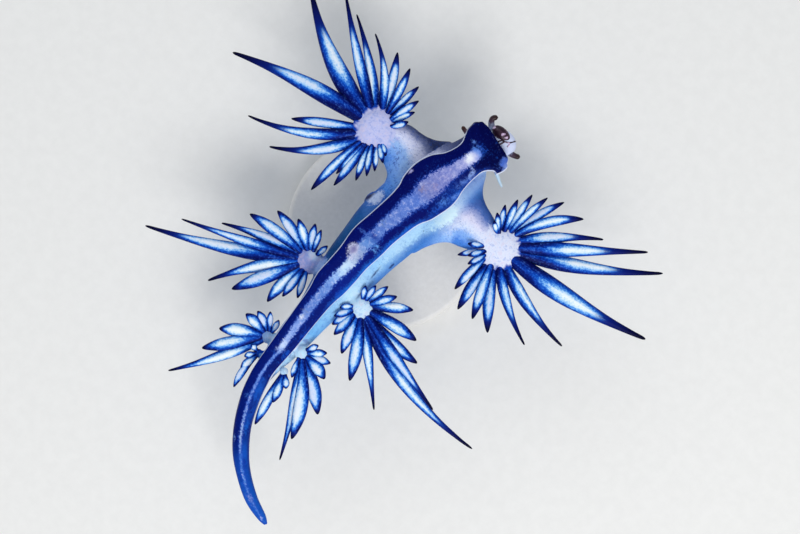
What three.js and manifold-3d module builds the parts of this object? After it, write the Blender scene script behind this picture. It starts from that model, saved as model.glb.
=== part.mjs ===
// A blue dragon sea slug, Glaucus atlanticus, as a life-size museum model on a small stand.
// Millimetres, +Z up. The slug floats belly up, so its foot is on top. +Y is towards the head,
// +X is the animal's left. The origin is the middle of the underside of the stand.
import * as THREE from "three";
import { mergeVertices } from "three/addons/utils/BufferGeometryUtils.js";
import Module from "manifold-3d";

const wasm = await Module();
wasm.setup();

// Driving dimensions
const bodyHeight = 10; // the middle of the trunk above the table
const gap = 0.3; // between neighbouring parts
const footThickness = 0.6;
const thinnest = 0.5; // no feeler or ceras is thinner, short of its tip
const standRadius = 9;
const standThickness = 2.5;
const standEdge = 0.5;
const rodRadius = 0.6;
const rodPlaces = [4.9, -4.6]; // along the trunk

// The trunk from the neck to the root of the tail:
// x, y, height over the trunk's middle, half width, rise to the foot, drop to the back, roll.
const trunkRows = [
  [0.85, 10.4, 0, 1.75, 1.3, 1.7, 4],
  [0.72, 8.9, 0, 2.1, 1.5, 2.0, 6],
  [0.35, 6.5, 0, 2.75, 1.7, 2.3, 8],
  [0.12, 3.5, 0, 3.0, 1.75, 2.4, 8],
  [0.05, 0.3, 0, 3.05, 1.75, 2.4, 8],
  [0.13, -2.3, 0, 2.75, 1.7, 2.25, 10],
  [0.35, -5.2, 0, 2.45, 1.55, 2.0, 14],
  [0.78, -9.4, 0, 1.65, 1.35, 1.7, 14],
  [1.0, -12.5, 0, 1.42, 1.1, 1.35, 10],
  [1.18, -15.6, 0, 1.0, 0.85, 1.0, 6],
];
const trunkLengths = { front: [10.4, 4.1], middle: [3.8, -3.6], rear: [-3.9, -15.6] };

// The foot, a thin sole over the trunk: x, y, height over the rise of the trunk, half width.
const footRows = [
  [1.05, 12.05, -0.1, 1.6],
  [1.05, 11.9, -0.05, 1.88],
  [1.05, 11.7, 0, 2.12],
  [1.12, 11.2, 0.05, 2.42],
  [1.06, 10.8, 0.1, 2.18],
  [0.94, 9.8, 0.1, 1.6],
  [0.8, 8.8, 0.1, 1.58],
  [0.62, 7.8, 0.1, 1.8],
  [0.4, 6.8, 0.1, 2.25],
  [0.26, 5.8, 0.1, 2.45],
  [0.2, 4.8, 0.1, 2.4],
  [0.18, 3.8, 0.1, 2.18],
  [0.06, 2.9, 0.1, 1.88],
  [-0.05, 1.9, 0.1, 1.73],
  [-0.22, -0.1, 0.1, 1.66],
  [-0.28, -1.8, 0.1, 1.7],
  [-0.17, -3.6, 0.1, 1.51],
  [-0.06, -5.1, 0.1, 1.5],
  [0.0, -6.6, 0.1, 1.48],
  [0.18, -8.1, 0.1, 1.22],
  [0.42, -10.1, 0.08, 1.12],
  [0.8, -13.0, 0.02, 1.02],
  [1.1, -15.6, -0.1, 0.88],
];
const footLengths = { front: [12.05, 4.1], middle: [3.8, -3.6], rear: [-3.9, -15.6] };

// The tail beyond the foot: x, y, height, half width, half height.
const tailRows = [
  [1.2, -15.9, 0.3, 0.9, 1.2],
  [1.45, -17.0, 0.25, 0.9, 1.12],
  [2.06, -18.61, 0.1, 0.88, 0.98],
  [3.19, -20.68, -0.2, 0.78, 0.84],
  [4.64, -22.43, -0.5, 0.74, 0.74],
  [6.26, -23.76, -0.9, 0.64, 0.64],
  [8.3, -24.91, -1.3, 0.57, 0.55],
  [10.1, -25.45, -1.6, 0.4, 0.42],
  [10.85, -25.66, -1.7, 0.14, 0.14],
];
const tailLengths = { base: [0, 0.29], middle: [0.31, 0.64], tip: [0.66, 1] };

// The head in front of the neck, and the arms: x, y, height, half width, rise, drop.
const headRows = [
  [0.98, 10.75, 0, 1.9, 1.2, 1.75],
  [1.15, 11.4, 0, 2.1, 1.2, 1.8],
  [1.35, 11.95, 0.05, 1.85, 1.0, 1.6],
  [1.5, 12.45, 0.05, 1.25, 0.75, 1.2],
];
const armRows = {
  right: [
    [-1.4, 5.5, -0.1, 4.0, 1.5, 1.7],
    [-2.27, 5.3, -0.1, 3.45, 1.42, 1.55],
    [-2.85, 5.58, -0.1, 2.87, 1.35, 1.45],
    [-3.25, 5.9, -0.1, 2.4, 1.25, 1.3],
    [-3.85, 6.02, -0.05, 2.15, 1.1, 1.15],
    [-4.9, 6.1, 0, 1.9, 0.95, 1.0],
    [-5.9, 5.8, 0, 1.62, 0.85, 0.9],
    [-6.7, 5.75, 0, 1.5, 0.8, 0.85],
  ],
  left: [
    [2.0, 5.2, 0, 4.6, 1.5, 1.7],
    [2.75, 5.0, 0.05, 4.7, 1.45, 1.6],
    [3.2, 4.68, 0.1, 4.35, 1.4, 1.5],
    [3.52, 4.93, 0.1, 3.62, 1.3, 1.4],
    [4.04, 5.24, 0.1, 2.84, 1.2, 1.25],
    [4.7, 5.45, 0.15, 2.31, 1.1, 1.15],
    [5.6, 5.53, 0.2, 1.99, 0.98, 1.0],
    [6.6, 5.65, 0.2, 1.65, 0.88, 0.9],
    [8.0, 5.9, 0.2, 1.5, 0.8, 0.85],
  ],
};

// The clusters of cerata. Each grows from a palm; a ceras is given by its bearing in degrees
// anticlockwise from +X, its reach from the middle of the palm, the sideways bend of its middle
// as a share of the reach, and its greatest width.
const clusters = {
  front_right: {
    palm: [-6.71, 5.72, 0],
    radius: 1.74,
    depth: 0.95,
    parting: 178.5,
    fore: [
      [160, 13.78, 0.068, 1.75],
      [148, 12.31, 0.015, 1.05],
      [145, 10.24, -0.036, 0.96],
      [136, 8.27, -0.09, 0.87],
      [120, 6.92, -0.035, 0.78],
      [106, 5.96, -0.025, 0.7],
      [90, 5.17, 0.012, 0.61],
      [78, 4.34, 0.004, 0.61],
      [68, 3.59, 0.013, 0.52],
      [56, 2.8, -0.034, 0.52],
    ],
    aft: [
      [-27, 2.55, 0.011, 0.5],
      [-35, 3.09, -0.002, 0.5],
      [-48, 3.75, 0.001, 0.5],
      [-57, 4.27, -0.02, 0.52],
      [-67, 4.88, -0.018, 0.61],
      [-82, 6.21, 0.013, 0.7],
      [-87, 5.3, -0.002, 0.61],
      [-92, 7.82, -0.027, 0.78],
      [-126, 9.53, 0.098, 1.13],
      [-141, 11.29, 0.086, 1.04],
      [-142, 7.53, 0.001, 0.78],
      [-163, 14.25, -0.038, 1.6],
    ],
  },
  front_left: {
    palm: [8.0, 5.91, 0.2],
    radius: 1.74,
    depth: 0.95,
    parting: 0.5,
    fore: [
      [145, 2.3, -0.039, 0.5],
      [138, 2.96, -0.029, 0.52],
      [126, 3.7, 0.012, 0.52],
      [113, 4.41, 0.013, 0.61],
      [102, 5.41, 0.009, 0.61],
      [90, 6.03, 0.031, 0.61],
      [79, 6.95, 0.05, 0.7],
      [63, 7.79, 0.094, 0.87],
      [49, 9.24, 0.051, 1.13],
      [43, 13.06, -0.003, 1.3],
      [36, 14.72, -0.039, 1.39],
      [13, 15.16, -0.036, 1.75],
    ],
    aft: [
      [-12, 10.33, -0.059, 1.13],
      [-30, 8.82, -0.062, 0.96],
      [-52, 7.53, -0.032, 0.96],
      [-65, 6.66, -0.008, 0.87],
      [-78, 6.47, -0.013, 0.87],
      [-91, 5.29, -0.034, 0.7],
      [-106, 3.08, 0.006, 0.5],
      [-119, 2.81, 0.002, 0.5],
      [-124, 3.63, -0.002, 0.52],
      [-141, 2.71, 0.018, 0.5],
    ],
  },
  middle_right: {
    palm: [-2.75, -6.52, -0.1],
    radius: 1.04,
    depth: 0.85,
    parting: -135.5,
    fore: [
      [-147, 14.86, 0.026, 1.3],
      [-153, 11.78, 0.009, 0.96],
      [-158, 8.42, -0.04, 1.04],
      [-173, 6.63, -0.034, 0.96],
      [168, 5.21, -0.039, 0.87],
      [150, 3.78, -0.023, 0.78],
      [126, 3.26, 0.033, 0.7],
      [114, 2.89, -0.005, 0.5],
      [84, 2.05, 0.0, 0.5],
    ],
    aft: [
      [-63, 3.44, -0.005, 0.61],
      [-82, 3.91, 0.004, 0.7],
      [-91, 5.17, -0.047, 0.96],
      [-115, 7.24, -0.001, 1.13],
      [-124, 9.13, -0.044, 1.22],
    ],
  },
  middle_left: {
    palm: [3.3, -6.21, 0.8],
    radius: 0.95,
    depth: 0.85,
    parting: -24,
    fore: [
      [123, 1.95, 0.0, 0.5],
      [101, 2.32, 0.006, 0.52],
      [83, 2.98, 0.003, 0.61],
      [62, 3.27, 0.013, 0.7],
      [42, 4.53, 0.029, 0.87],
      [14, 5.58, 0.029, 1.04],
      [0, 6.89, -0.045, 1.04],
      [-10, 10.86, -0.003, 1.04],
      [-7, 15.75, -0.074, 1.22],
    ],
    aft: [
      [-38, 9.02, 0.008, 0.96],
      [-54, 6.44, 0.03, 1.04],
      [-68, 4.36, -0.018, 0.87],
      [-90, 3.32, 0.0, 0.78],
      [-105, 2.92, -0.005, 0.7],
      [-118, 2.45, 0.005, 0.61],
      [-135, 1.85, -0.05, 0.5],
    ],
  },
  rear_right: {
    palm: [-0.65, -13.74, 0.1],
    radius: 0.75,
    depth: 0.75,
    whole: [
      [101, 1.75, -0.044, 0.5],
      [129, 2.2, -0.018, 0.52],
      [157, 2.4, -0.065, 0.7],
      [179, 2.75, -0.042, 0.87],
      [-144, 4.33, -0.03, 1.1],
      [-125, 5.85, -0.005, 1.04],
      [-116, 9.3, 0.026, 1.04],
    ],
  },
  rear_left: {
    palm: [2.45, -12.6, 1.0],
    radius: 0.8,
    depth: 0.75,
    whole: [
      [69, 1.6, 0.026, 0.5],
      [45, 2.2, 0.0, 0.61],
      [25, 2.65, -0.009, 0.7],
      [-4, 3.0, 0.062, 0.96],
      [-31, 5.55, 0.037, 1.13],
      [-52, 7.55, 0.064, 1.13],
      [-57, 9.6, 0.024, 0.96],
      [-67, 2.3, -0.024, 0.52],
    ],
  },
  hind_right: {
    palm: [-0.15, -15.3, 0.2],
    radius: 0.55,
    depth: 0.6,
    whole: [
      [175, 1.0, 0.0, 0.5],
      [-123, 1.3, -0.056, 0.52],
      [-95, 2.1, -0.025, 0.66],
      [-82, 3.7, -0.06, 0.61],
    ],
  },
  hind_left: {
    palm: [2.5, -14.85, 0.85],
    radius: 0.55,
    depth: 0.6,
    whole: [
      [-38, 1.5, 0.017, 0.61],
      [-65, 2.85, 0.03, 0.7],
      [-74, 5.3, -0.004, 0.78],
    ],
  },
};
// How a ceras swells and tapers between the edge of its palm (0) and its tip (1): a long one
// draws out into a whip, a short one is a petal.
const cerasSwell = {
  long: [
    [-1, 0.62],
    [0, 0.72],
    [0.2, 0.94],
    [0.36, 1],
    [0.55, 0.8],
    [0.75, 0.45],
    [0.92, 0.24],
  ],
  short: [
    [-1, 0.5],
    [0, 0.6],
    [0.4, 0.96],
    [0.7, 0.92],
    [0.92, 0.36],
  ],
};
const longCeras = 8; // the reach from which a ceras counts as long
const cerasDepth = 0.68; // of its width

// Feelers, each a tapered finger: root, tip, radius at the root and near the tip.
const feelers = {
  oral_tentacle_right: { root: [0.42, 12.75, 0.35], tip: [-0.05, 13.85, 0.6], radii: [0.34, 0.26] },
  oral_tentacle_left: { root: [2.75, 12.35, 0.2], tip: [4.1, 12.72, 0.3], radii: [0.34, 0.26] },
  rhinophore_right: { root: [-0.55, 11.2, -0.75], tip: [-1.65, 11.2, -1.0], radii: [0.36, 0.27] },
  rhinophore_left: { root: [2.8, 10.95, -0.7], tip: [4.6, 9.9, -1.0], radii: [0.36, 0.27] },
};
const snout = { middle: [1.85, 12.62, 0.15], radii: [1.3, 1.08, 1.0] };
const mouth = { middle: [1.15, 13.1, 0.75], radii: [0.72, 0.55, 0.55] };
const papilla = { middle: [-3.0, 1.3, 0.35], radii: [0.5, 0.7, 0.5] };

// Colours, roughness
const finishes = {
  flank: { color: 0x9fc4ea, roughness: 0.35 },
  sole: { color: 0x101c55, roughness: 0.3 },
  ceras: { color: 0x2c5bc4, roughness: 0.35 },
  pale: { color: 0xd9dcef, roughness: 0.4 },
  dark: { color: 0x2a1512, roughness: 0.4 },
  base: { color: 0xe9e8e4, roughness: 0.55 },
  steel: { color: 0xc8ccd2, roughness: 0.25, metalness: 1 },
};

// A closed geometry as a solid.
function solidOf(geometry) {
  const bare = geometry.clone();
  bare.deleteAttribute("normal");
  bare.deleteAttribute("uv");
  const merged = mergeVertices(bare, 1e-4);
  const corners = merged.index.array;
  const kept = [];
  for (let i = 0; i < corners.length; i += 3) {
    const [a, b, c] = corners.subarray(i, i + 3);
    if (a !== b && b !== c && c !== a) kept.push(a, b, c);
  }
  return new wasm.Manifold(
    new wasm.Mesh({
      numProp: 3,
      vertProperties: merged.attributes.position.array,
      triVerts: new Uint32Array(kept),
    }),
  );
}

// The largest closed surface of a solid.
function largest(solid) {
  return solid.decompose().reduce((a, b) => (b.volume() > a.volume() ? b : a));
}

// A number that follows a spline through one column of the rows.
function column(rows, index) {
  return new THREE.SplineCurve(rows.map((row, i) => new THREE.Vector2(i, row[index] ?? 0)));
}

// A closed loft from one share of its rows to another. A row is x, y, z, half width, rise, drop
// and roll. Rings stand square to the spine, or to the way they face where that is given; corner
// under 1 squares their section.
function loft(rows, options = {}) {
  const { from = 0, to = 1, rings = 12, sides = 16, corner = 1, extra = 0, pointed, facing } = options;
  const spine = new THREE.CatmullRomCurve3(
    rows.map(([x, y, z]) => new THREE.Vector3(x, y, z)),
    false,
    "catmullrom",
  );
  const [half, rise, drop, roll] = [3, 4, 5, 6].map((index) => column(rows, index));
  const shares = Array.from({ length: rings }, (_, i) => from + ((to - from) * i) / (rings - 1));
  const profile = [new THREE.Vector2(0, from), ...shares.map((t) => new THREE.Vector2(1, t))];
  if (pointed) profile.pop();
  profile.push(new THREE.Vector2(0, to));
  const geometry = new THREE.LatheGeometry(profile, sides, Math.PI / 2);
  const position = geometry.attributes.position;
  const up = new THREE.Vector3(0, 0, 1);
  for (let i = 0; i < position.count; i++) {
    const [x, t, z] = [position.getX(i), position.getY(i), position.getZ(i)];
    const ahead = facing ?? spine.getTangent(t);
    const side = new THREE.Vector3().crossVectors(ahead, up).normalize();
    const lift = new THREE.Vector3().crossVectors(side, ahead);
    const across = Math.sign(x) * Math.abs(x) ** corner * (half.getPoint(t).y + extra);
    const reach = (z > 0 ? rise : drop).getPoint(t).y + extra;
    const high = Math.sign(z) * Math.abs(z) ** corner * reach;
    const turn = THREE.MathUtils.degToRad(roll.getPoint(t).y);
    const point = spine
      .getPoint(t)
      .addScaledVector(side, across * Math.cos(turn) - high * Math.sin(turn))
      .addScaledVector(lift, across * Math.sin(turn) + high * Math.cos(turn));
    position.setXYZ(i, point.x, point.y, point.z);
  }
  return solidOf(geometry);
}

// The share of a spine at which it passes a given y, on rows whose y falls all the way.
function shareAt(rows, y) {
  const line = column(rows, 1);
  let [low, high] = [0, 1];
  for (let i = 0; i < 40; i++) {
    const middle = (low + high) / 2;
    if (line.getPoint(middle).y > y) low = middle;
    else high = middle;
  }
  return (low + high) / 2;
}

function ellipsoid([x, y, z], [a, b, c], extra = 0, sides = 16) {
  const geometry = new THREE.SphereGeometry(1, sides, Math.round(sides * 0.6));
  geometry.rotateX(Math.PI / 2);
  geometry.scale(a + extra, b + extra, c + extra);
  geometry.translate(x, y, bodyHeight + z);
  return solidOf(geometry);
}

// The trunk, foot and tail as rows in true heights
const trunk = trunkRows.map(([x, y, z, ...rest]) => [x, y, bodyHeight + z, ...rest]);
const trunkRise = (y) => column(trunkRows, 4).getPoint(shareAt(trunkRows, y)).y;
const trunkRoll = (y) => column(trunkRows, 6).getPoint(shareAt(trunkRows, y)).y;
const foot = footRows.map(([x, y, z, half]) => {
  const middle = bodyHeight + trunkRise(y) + gap + footThickness / 2 + z;
  return [x, y, middle, half, footThickness / 2, footThickness / 2, trunkRoll(y) * 0.6];
});
const tail = tailRows.map(([x, y, z, half, high]) => [x, y, bodyHeight + z, half, high, high]);
const head = headRows.map(([x, y, z, ...rest]) => [x, y, bodyHeight + z, ...rest]);
const arms = Object.fromEntries(
  Object.entries(armRows).map(([side, rows]) => [
    side,
    rows.map(([x, y, z, ...rest]) => [x, y, bodyHeight + z, ...rest]),
  ]),
);
const trunkShape = { sides: 18, corner: 0.85 };
const footShape = { sides: 12, corner: 0.6 };
const armShape = {
  right: { sides: 16, rings: 10, facing: new THREE.Vector3(-1, 0, 0) },
  left: { sides: 16, rings: 10, facing: new THREE.Vector3(1, 0, 0) },
};

// The room that each part takes up with the gap round it
const trunkRoom = loft(trunk, { ...trunkShape, sides: 14, rings: 14, extra: gap });
const footRoom = loft(foot, { ...footShape, sides: 8, rings: 16, extra: gap });
const tailRoom = loft(tail, { sides: 10, rings: 12, extra: gap });
const headRoom = loft(head, { sides: 12, rings: 5, extra: gap });

// How far a ceras tilts up from its palm, in degrees: the short ones beside the arm the most.
function cerasTilt(reach, radius, index) {
  const tier = index % 2 ? 2.5 : -2.5;
  return 36 * Math.exp(-(reach / radius - 1.2) / 1.6) - 4 + tier;
}

// One ceras, rooted well inside its palm.
function ceras({ palm, radius }, [bearing, reach, bend, width], index) {
  const turn = THREE.MathUtils.degToRad(bearing);
  const ahead = new THREE.Vector3(Math.cos(turn), Math.sin(turn), 0);
  const side = new THREE.Vector3(-Math.sin(turn), Math.cos(turn), 0);
  const tilt = Math.tan(THREE.MathUtils.degToRad(cerasTilt(reach, radius, index)));
  const long = reach > longCeras;
  const edge = radius * 0.6;
  const root = radius * 0.25;
  const swell = long ? cerasSwell.long : cerasSwell.short;
  const rows = [...swell, [1, 0.08]].map(([share, girth]) => {
    const along = share < 0 ? root : edge + (reach - edge) * share;
    const s = along / reach;
    const point = new THREE.Vector3(palm[0], palm[1], bodyHeight + palm[2])
      .addScaledVector(ahead, along)
      .addScaledVector(side, bend * reach * 4 * s * (1 - s));
    const half = Math.max(width * girth, share < 0.7 ? thinnest : 0.05) / 2;
    const high = Math.max(half * cerasDepth, share < 0.7 ? thinnest / 2 : 0.03);
    return [point.x, point.y, point.z + along * tilt, half, high, high];
  });
  return loft(rows, { rings: rows.length, sides: width > 1.1 ? 8 : 6, pointed: true });
}

// The room on one side of the upright plane that parts a palm.
function sideOf({ palm, parting }, sign) {
  const span = 60;
  const geometry = new THREE.BoxGeometry(span, span, span);
  geometry.translate(0, (sign * (span + gap)) / 2, 0);
  geometry.rotateZ(THREE.MathUtils.degToRad(parting));
  geometry.translate(palm[0], palm[1], bodyHeight + palm[2]);
  return solidOf(geometry);
}

// The palm of a cluster fused with its cerata, clear of what lies beside it.
function fan(cluster, rows, rooms) {
  const { palm, radius, depth } = cluster;
  let solid = ellipsoid(palm, [radius, radius, depth], 0, radius > 1 ? 16 : 10);
  rows.forEach((row, index) => {
    solid = solid.add(ceras(cluster, row, index));
  });
  for (const room of rooms) solid = solid.subtract(room);
  return solid;
}

// A tapered finger with a round end.
function feeler({ root, tip, radii: [thick, thin] }) {
  const rows = [
    [0, thick],
    [0.5, (thick + thin) / 2],
    [0.85, thin],
    [1, 0.05],
  ].map(([share, radius]) => {
    const [x, y, z] = root.map((value, i) => value + (tip[i] - value) * share);
    return [x, y, bodyHeight + z, radius, radius, radius];
  });
  return loft(rows, { rings: rows.length, sides: 8, pointed: true });
}

const model = new THREE.Group();

// Adds one named part of the model.
function addPart(name, solid, finish) {
  const mesh = largest(solid).getMesh();
  const points = new Float32Array(mesh.numVert * 3);
  for (let i = 0; i < mesh.numVert; i++) {
    points.set(mesh.vertProperties.subarray(i * mesh.numProp, i * mesh.numProp + 3), i * 3);
  }
  const geometry = new THREE.BufferGeometry();
  geometry.setAttribute("position", new THREE.BufferAttribute(points, 3));
  geometry.setIndex(new THREE.BufferAttribute(mesh.triVerts, 1));
  geometry.computeVertexNormals();
  const part = new THREE.Mesh(geometry, new THREE.MeshStandardMaterial(finishes[finish]));
  part.name = name;
  model.add(part);
}

// Trunk and foot, each in three lengths
for (const [name, [from, to]] of Object.entries(trunkLengths)) {
  const span = { from: shareAt(trunk, from), to: shareAt(trunk, to), rings: 8 };
  addPart(`body_${name}`, loft(trunk, { ...trunkShape, ...span }), "flank");
}
for (const [name, [from, to]] of Object.entries(footLengths)) {
  const span = { from: shareAt(foot, from), to: shareAt(foot, to), rings: 11 };
  addPart(`foot_${name}`, loft(foot, { ...footShape, ...span }), "sole");
}

// Tail in three lengths
for (const [name, [from, to]] of Object.entries(tailLengths)) {
  const span = { from, to, rings: 7, pointed: to === 1 };
  addPart(`tail_${name}`, loft(tail, { sides: 12, ...span }), "sole");
}

// Head, with the snout and the mouth in front, and the feelers
const snoutSolid = ellipsoid(snout.middle, snout.radii, 0, 12).subtract(headRoom).subtract(footRoom);
const mouthRoom = ellipsoid(mouth.middle, mouth.radii, gap, 12);
addPart("head", loft(head, { sides: 16, rings: 6 }).subtract(footRoom), "flank");
addPart("snout", snoutSolid.subtract(mouthRoom), "pale");
addPart("mouth", ellipsoid(mouth.middle, mouth.radii, 0, 12).subtract(footRoom), "dark");
const snoutRoom = ellipsoid(snout.middle, snout.radii, gap);
for (const [name, shape] of Object.entries(feelers)) {
  const rooted = feeler(shape).subtract(headRoom).subtract(snoutRoom).subtract(mouthRoom);
  addPart(name, rooted.subtract(footRoom), "dark");
}
const papillaRoom = ellipsoid(papilla.middle, papilla.radii, gap, 10);
addPart("papilla", ellipsoid(papilla.middle, papilla.radii, 0, 12).subtract(trunkRoom), "pale");

// Arms, from the trunk to the palms of the front clusters
const armRooms = {};
for (const [side, rows] of Object.entries(arms)) {
  const { palm, radius, depth } = clusters[`front_${side}`];
  const palmRoom = ellipsoid(palm, [radius, radius, depth], gap);
  armRooms[side] = loft(rows, { ...armShape[side], extra: gap }).subtract(palmRoom);
  const solid = [trunkRoom, footRoom, palmRoom, papillaRoom].reduce(
    (rest, room) => rest.subtract(room),
    loft(rows, armShape[side]),
  );
  addPart(`arm_${side}`, solid, "flank");
}

// Clusters of cerata, the large ones in a fore and an aft part
const bodyRooms = [trunkRoom, footRoom, tailRoom];
for (const [name, cluster] of Object.entries(clusters)) {
  const side = name.split("_")[1];
  const rooms = name.startsWith("front") ? [armRooms[side]] : bodyRooms;
  if (cluster.whole) {
    addPart(`cerata_${name}`, fan(cluster, cluster.whole, rooms), "ceras");
    continue;
  }
  const foreSign = side === "right" ? -1 : 1;
  const fore = fan(cluster, cluster.fore, rooms).intersect(sideOf(cluster, foreSign));
  const aft = fan(cluster, cluster.aft, rooms).intersect(sideOf(cluster, -foreSign));
  addPart(`cerata_${name}_fore`, fore, "ceras");
  addPart(`cerata_${name}_aft`, aft, "ceras");
}

// Stand: a round base and two rods up to the back of the trunk
const baseProfile = [
  [0, 0],
  [standRadius, 0],
  [standRadius, standThickness - standEdge],
  [standRadius - standEdge, standThickness],
  [0, standThickness],
].map(([x, y]) => new THREE.Vector2(x, y));
const base = new THREE.LatheGeometry(baseProfile, 48);
base.rotateX(Math.PI / 2);
addPart("stand_base", solidOf(base), "base");
rodPlaces.forEach((y, index) => {
  const share = shareAt(trunk, y);
  const x = column(trunk, 0).getPoint(share).y;
  const top = bodyHeight;
  const bottom = standThickness + gap;
  const rod = new THREE.CylinderGeometry(rodRadius, rodRadius, top - bottom, 16);
  rod.rotateX(Math.PI / 2);
  rod.translate(x, y, (top + bottom) / 2);
  addPart(`stand_rod_${index ? "rear" : "front"}`, solidOf(rod).subtract(trunkRoom), "steel");
});

export default model;
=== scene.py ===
import math
import random

import bmesh
import bpy
import numpy as np
from mathutils import Matrix, Vector, noise


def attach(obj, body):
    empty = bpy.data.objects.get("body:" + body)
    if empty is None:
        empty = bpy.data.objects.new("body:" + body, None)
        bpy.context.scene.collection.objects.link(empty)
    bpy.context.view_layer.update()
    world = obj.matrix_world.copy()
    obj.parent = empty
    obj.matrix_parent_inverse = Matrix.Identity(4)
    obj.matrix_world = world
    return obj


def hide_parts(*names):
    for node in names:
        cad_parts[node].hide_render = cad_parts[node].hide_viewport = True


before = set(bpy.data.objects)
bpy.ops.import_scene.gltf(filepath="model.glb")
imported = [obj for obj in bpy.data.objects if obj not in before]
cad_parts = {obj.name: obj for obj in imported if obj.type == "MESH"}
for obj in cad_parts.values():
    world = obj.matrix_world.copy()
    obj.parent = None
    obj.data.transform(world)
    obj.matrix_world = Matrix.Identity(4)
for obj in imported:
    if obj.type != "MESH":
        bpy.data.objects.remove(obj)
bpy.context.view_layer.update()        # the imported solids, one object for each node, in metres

mm = 0.001  # the shapes below are worked out in millimetres

# Camera, light and floor. The camera looks straight down, turned so that the body runs
# from the lower left to the upper right of the picture.
studio = {
    "aim": (3.20, -1.35),  # middle of the picture on the table, mm
    "turn": 45,  # degrees
    "lens": 90,
    "distance": 174,  # from the plane of the body, mm
    "floorSize": 1.6,  # m
    "floorColour": (0.80, 0.80, 0.79),
    "floorGrain": 900,
    "world": (0.93, 0.96, 1.0),
    "worldStrength": 0.5,
    "key": {"place": (150, -90, 230), "size": 150, "power": 0.5, "colour": (1.0, 0.98, 0.95)},
    "fill": {"place": (-210, 120, 190), "size": 260, "power": 0.18, "colour": (0.88, 0.94, 1.0)},
}


def show(name, data):  # a new object in the scene
    shown = bpy.data.objects.new(name, data)
    bpy.context.scene.collection.objects.link(shown)
    return shown


def meshFrom(name, bm):
    mesh = bpy.data.meshes.new(name)
    bm.to_mesh(mesh)
    bm.free()
    return mesh


def softLight(name, place, size, power, colour):
    light = bpy.data.lights.new(name, "AREA")
    light.shape = "DISK"
    light.size = size * mm
    light.energy = power
    light.color = colour
    lamp = show(name, light)
    lamp.location = Vector(place) * mm
    lamp.rotation_euler = (-Vector(place)).to_track_quat("-Z", "Y").to_euler()


def makeStudio():
    scene = bpy.context.scene
    camera = show("camera", bpy.data.cameras.new("camera"))
    camera.data.lens = studio["lens"]
    camera.data.sensor_width = 36
    camera.data.clip_start = 0.005
    camera.data.clip_end = 20
    height = bodyHeight + studio["distance"]
    camera.location = Vector((*studio["aim"], height)) * mm
    camera.rotation_euler = (0, 0, math.radians(studio["turn"]))
    scene.camera = camera
    scene.view_settings.view_transform = "Standard"
    for name in ("key", "fill"):
        softLight(name, **studio[name])
    world = bpy.data.worlds.new("studio")
    world.use_nodes = True
    sky = world.node_tree.nodes["Background"]
    sky.inputs["Color"].default_value = (*studio["world"], 1)
    sky.inputs["Strength"].default_value = studio["worldStrength"]
    scene.world = world


def makeFloor():
    bm = bmesh.new()
    bmesh.ops.create_grid(bm, x_segments=4, y_segments=4, size=studio["floorSize"] / 2)
    mesh = meshFrom("floor", bm)
    paint = painter("floorPaper")
    speckle = paint.noise(studio["floorGrain"], detail=3)
    plain = studio["floorColour"]
    paler = tuple(min(1, c * 1.03) for c in plain)
    colour = paint.ramp(speckle, [(0.35, plain), (0.65, paler)])
    mesh.materials.append(paint.finished(colour, roughness=0.85, shine=0.2))
    show("floor", mesh)


# Shapes

def follow(rows, share):  # a smooth line through rows of numbers, share 0 to 1
    last = len(rows) - 1
    place = min(max(share, 0.0), 1.0) * last
    i = min(int(place), last - 1)
    t = place - i
    before = rows[i - 1] if i else None
    after = rows[i + 2] if i + 2 <= last else None
    found = []
    for k, (b, c) in enumerate(zip(rows[i], rows[i + 1])):
        a = before[k] if before else 2 * b - c
        d = after[k] if after else 2 * c - b
        cubic = (3 * b - a - 3 * c + d) * t ** 3 + (2 * a - 5 * b + 4 * c - d) * t * t
        found.append(0.5 * (cubic + (c - a) * t + 2 * b))
    return found


def powered(value, power):  # a power that keeps the sign
    return math.copysign(abs(value) ** power, value)


# A tube of rings through rows of x, y, z, half width, rise, drop and roll. Rings stand square to
# the rows' line, or to facing. Vertices keep their turn round the tube and share of its length.
def loftTube(bm, rows, sides=16, rings=24, corner=1.0, flat=1.0, closeTip=False, facing=None):
    turn = bm.verts.layers.float["turn"]
    along = bm.verts.layers.float["along"]
    rows = [list(row) + [0] * (7 - len(row)) for row in rows]
    ahead = Vector(facing or (0, 0, 0))
    nudge = 0.004  # of the length, either side, for the way the line runs
    thinnest = 0.02
    ring = bmesh.ops.create_circle(bm, radius=1, segments=sides)["verts"]
    for v in ring:
        v[turn] = math.atan2(v.co.y, v.co.x)
    edges = list(dict.fromkeys(e for v in ring for e in v.link_edges))  # each once, in order
    firstEdges = edges
    for step in range(rings):
        share = step / (rings - 1)
        if step:
            made = bmesh.ops.extrude_edge_only(bm, edges=edges)["geom"]
            ring = [g for g in made if isinstance(g, bmesh.types.BMVert)]
            edges = [g for g in made if isinstance(g, bmesh.types.BMEdge) and g.is_boundary]
        x, y, z, half, rise, drop, roll = follow(rows, share)
        if not facing:
            ahead = Vector(follow(rows, share + nudge)[:3]) - Vector(follow(rows, share - nudge)[:3])
        side = ahead.cross(Vector((0, 0, 1))).normalized()
        lift = side.cross(ahead).normalized()
        tilt = math.radians(roll)
        for v in ring:
            across = powered(math.cos(v[turn]), corner) * max(half, thinnest)
            high = powered(math.sin(v[turn]), corner * flat)
            high *= max(rise if high > 0 else drop, thinnest)
            v[along] = share
            v.co = Vector((x, y, z))
            v.co += side * (across * math.cos(tilt) - high * math.sin(tilt))
            v.co += lift * (across * math.sin(tilt) + high * math.cos(tilt))
    if closeTip:
        middle = sum((v.co for v in ring), Vector()) / len(ring)
        bmesh.ops.pointmerge(bm, verts=ring, merge_co=middle)
    else:
        bmesh.ops.contextual_create(bm, geom=edges)
    bmesh.ops.contextual_create(bm, geom=firstEdges)


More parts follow.
